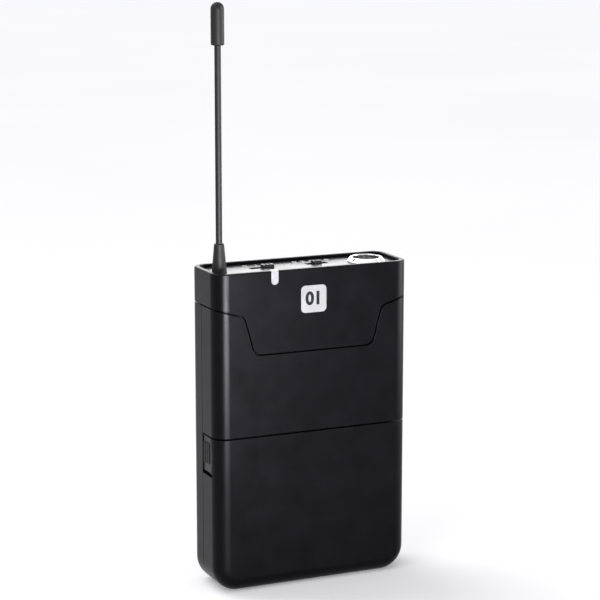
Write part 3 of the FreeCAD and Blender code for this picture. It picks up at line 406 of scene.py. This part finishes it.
def plate_prints():
    """Plain numbers behind the two switches and a tick in front of each."""
    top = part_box("top_plate")[1].z + INK_T / 2
    for label, numbers, switch, reach in (
        ("power", ("0", "1", "2"), "power_switch_body", POWER_REACH),
        ("gain", ("0", "2", "4", "6", "8"), "gain_switch_body", GAIN_REACH),
    ):
        low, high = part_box(switch)
        middle = (low.x + high.x) / 2
        back = high.y + LEGEND_GAP
        gaps = len(numbers) - 1
        for i, number in enumerate(numbers):
            across = (i - gaps / 2) * (2 * reach / gaps)
            place = Matrix.Translation((middle + across, back, top))
            printed(f"{label}_number_{i}", number, place, weight=LEGEND_WEIGHT)
        place = Matrix.Translation((middle, low.y - TICK_GAP, top - INK_T / 2))
        rounded_plate(f"{label}_tick", TICK_SIZE, TICK_CORNER, INK_T, place, "print_white")


def badge_number():
    """A plain unit number where the badge is."""
    low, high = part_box("badge")
    middle = (low + high) / 2
    depth = low.y - BADGE_PROUD + INK_T / 2
    place = Matrix.Translation((middle.x, depth, middle.z)) @ Matrix.Rotation(math.pi / 2, 4, "X")
    printed("badge_number", "01", place, BADGE_NUMBER_SIZE, "print_black", BADGE_NUMBER_WEIGHT)


def back_label():
    """The blank type plate on the back, inside the clip's loop."""
    rear_face = -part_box("front_shell")[0].y  # the casing is as deep behind the origin as before it
    place = Matrix.Translation((0, rear_face, LABEL_Z)) @ Matrix.Rotation(-math.pi / 2, 4, "X")
    rounded_plate("type_plate", LABEL_SIZE, LABEL_CORNER, LABEL_T, place, "label_silver")


# ---------------------------------------------------------------- latch springs

def coil(name, low, high, finish, body):
    """A compression spring along X that fills the box from low to high."""
    middle = (low + high) / 2
    radius = (high.z - low.z) / 2 - SPRING_WIRE
    length = high.x - low.x - 2 * SPRING_WIRE
    curve = bpy.data.curves.new(name, "CURVE")
    curve.dimensions = "3D"
    curve.bevel_depth = SPRING_WIRE
    curve.bevel_resolution = 3
    curve.use_fill_caps = True
    spline = curve.splines.new("POLY")
    steps = SPRING_TURNS * SPRING_STEPS
    spline.points.add(steps)
    for i, point in enumerate(spline.points):
        turn = math.tau * i / SPRING_STEPS
        along = low.x + SPRING_WIRE + length * i / steps
        point.co = (along, middle.y + radius * math.cos(turn), middle.z + radius * math.sin(turn), 1)
    return placed(name, mesh_of(curve), finish, body)


def latch_springs():
    """Draws a coil spring in each latch spring's box, in place of that node, riding on its joint's parent
    body.
    """
    for joint in frame["joints"]:
        for deforming in joint.get("deforming_nodes", []):
            low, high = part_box(deforming["node"])
            piece = coil(deforming["node"] + "_coil", low, high, "spring_steel", joint["parent"])
            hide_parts(deforming["node"])
            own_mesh(piece)


# ---------------------------------------------------------------- studio

def camera():
    """Looks at the target from the camera's azimuth, elevation and distance."""
    azimuth = math.radians(CAMERA_AZIMUTH)
    elevation = math.radians(CAMERA_ELEVATION)
    flat = math.cos(elevation)
    back = Vector((math.sin(azimuth) * flat, -math.cos(azimuth) * flat, math.sin(elevation)))
    data = bpy.data.cameras.new("camera")
    data.lens = CAMERA_LENS
    data.sensor_width = 36
    data.clip_start = 0.01
    made = bpy.data.objects.new("camera", data)
    made.rotation_euler = back.to_track_quat("Z", "Y").to_euler()
    made.location = CAMERA_TARGET + back * CAMERA_DISTANCE
    bpy.context.scene.collection.objects.link(made)
    bpy.context.scene.camera = made


def seen_directly(tree):
    """1 for rays that look at a surface straight, in a reflection or through glass; 0 for light."""
    path = tree.nodes.new("ShaderNodeLightPath")
    total = path.outputs["Is Camera Ray"]
    for name in ("Is Glossy Ray", "Is Transmission Ray"):
        largest = tree.nodes.new("ShaderNodeMath")
        largest.operation = "MAXIMUM"
        tree.links.new(total, largest.inputs[0])
        tree.links.new(path.outputs[name], largest.inputs[1])
        total = largest.outputs[0]
    return total


def world():
    """White where it is seen; a softer grey where it only lights."""
    made = bpy.data.worlds.new("studio")
    bpy.context.scene.world = made
    made.use_nodes = True
    tree = made.node_tree
    background = tree.nodes["Background"]
    mix = tree.nodes.new("ShaderNodeMix")
    mix.data_type = "RGBA"
    mix.inputs[6].default_value = WORLD_LIGHT
    mix.inputs[7].default_value = (1, 1, 1, 1)
    tree.links.new(seen_directly(tree), mix.inputs[0])
    tree.links.new(mix.outputs[2], background.inputs["Color"])


def area(name, place, aim, size, power):
    data = bpy.data.lights.new(name, "AREA")
    data.shape = "RECTANGLE"
    data.size, data.size_y = size
    data.energy = power
    made = bpy.data.objects.new(name, data)
    made.location = place
    made.rotation_euler = (Vector(place) - Vector(aim)).to_track_quat("Z", "Y").to_euler()
    made.visible_camera = False
    bpy.context.scene.collection.objects.link(made)
    return made


def sun():
    data = bpy.data.lights.new("overhead", "SUN")
    data.energy = SUN_STRENGTH
    data.angle = SUN_SPREAD
    made = bpy.data.objects.new("overhead", data)
    made.rotation_euler = SUN_TURN
    bpy.context.scene.collection.objects.link(made)


def floor():
    """Pale floor. Straight on it looks nearly white, and it keeps the object's shadow."""
    mesh = bpy.data.meshes.new("floor")
    corners = [(x * FLOOR_REACH, y * FLOOR_REACH, 0) for x, y in ((-1, -1), (1, -1), (1, 1), (-1, 1))]
    mesh.from_pydata(corners, [], [(0, 1, 2, 3)])
    made = bpy.data.objects.new("floor", mesh)
    made.location.z = -FLOOR_DROP
    bpy.context.scene.collection.objects.link(made)
    s = Shader("floor")
    patch = s.spread(s.noise(0.3, 2), 0.0, 1.0)
    s.link(s.mix(patch, (0.84, 0.84, 0.85), (0.87, 0.87, 0.88)), "Base Color")
    s.link(s.spread(s.noise(0.05, 2), 0.6, 0.7), "Roughness")
    s.set(Specular_IOR_Level=0.0)
    s.surface.inputs["Emission Color"].default_value = (1, 1, 1, 1)
    lift = s.math("MULTIPLY", seen_directly(s.tree), FLOOR_LIFT)
    s.link(lift, "Emission Strength")
    mesh.materials.append(s.material)


def studio():
    """Soft light from above and the left, and three lights that show only in reflections."""
    bpy.context.scene.view_settings.view_transform = "Standard"
    world()
    floor()
    sun()
    area("key_left", *KEY_LEFT)
    area("top_soft", *TOP_SOFT)
    shine = (
        area("corner_strip", *CORNER_STRIP),
        area("right_strip", *RIGHT_STRIP),
        area("back_panel", *BACK_PANEL),
    )
    for light in shine:
        light.visible_diffuse = False


camera()
finish_nodes()
plate_prints()
badge_number()
back_label()
latch_springs()
studio()
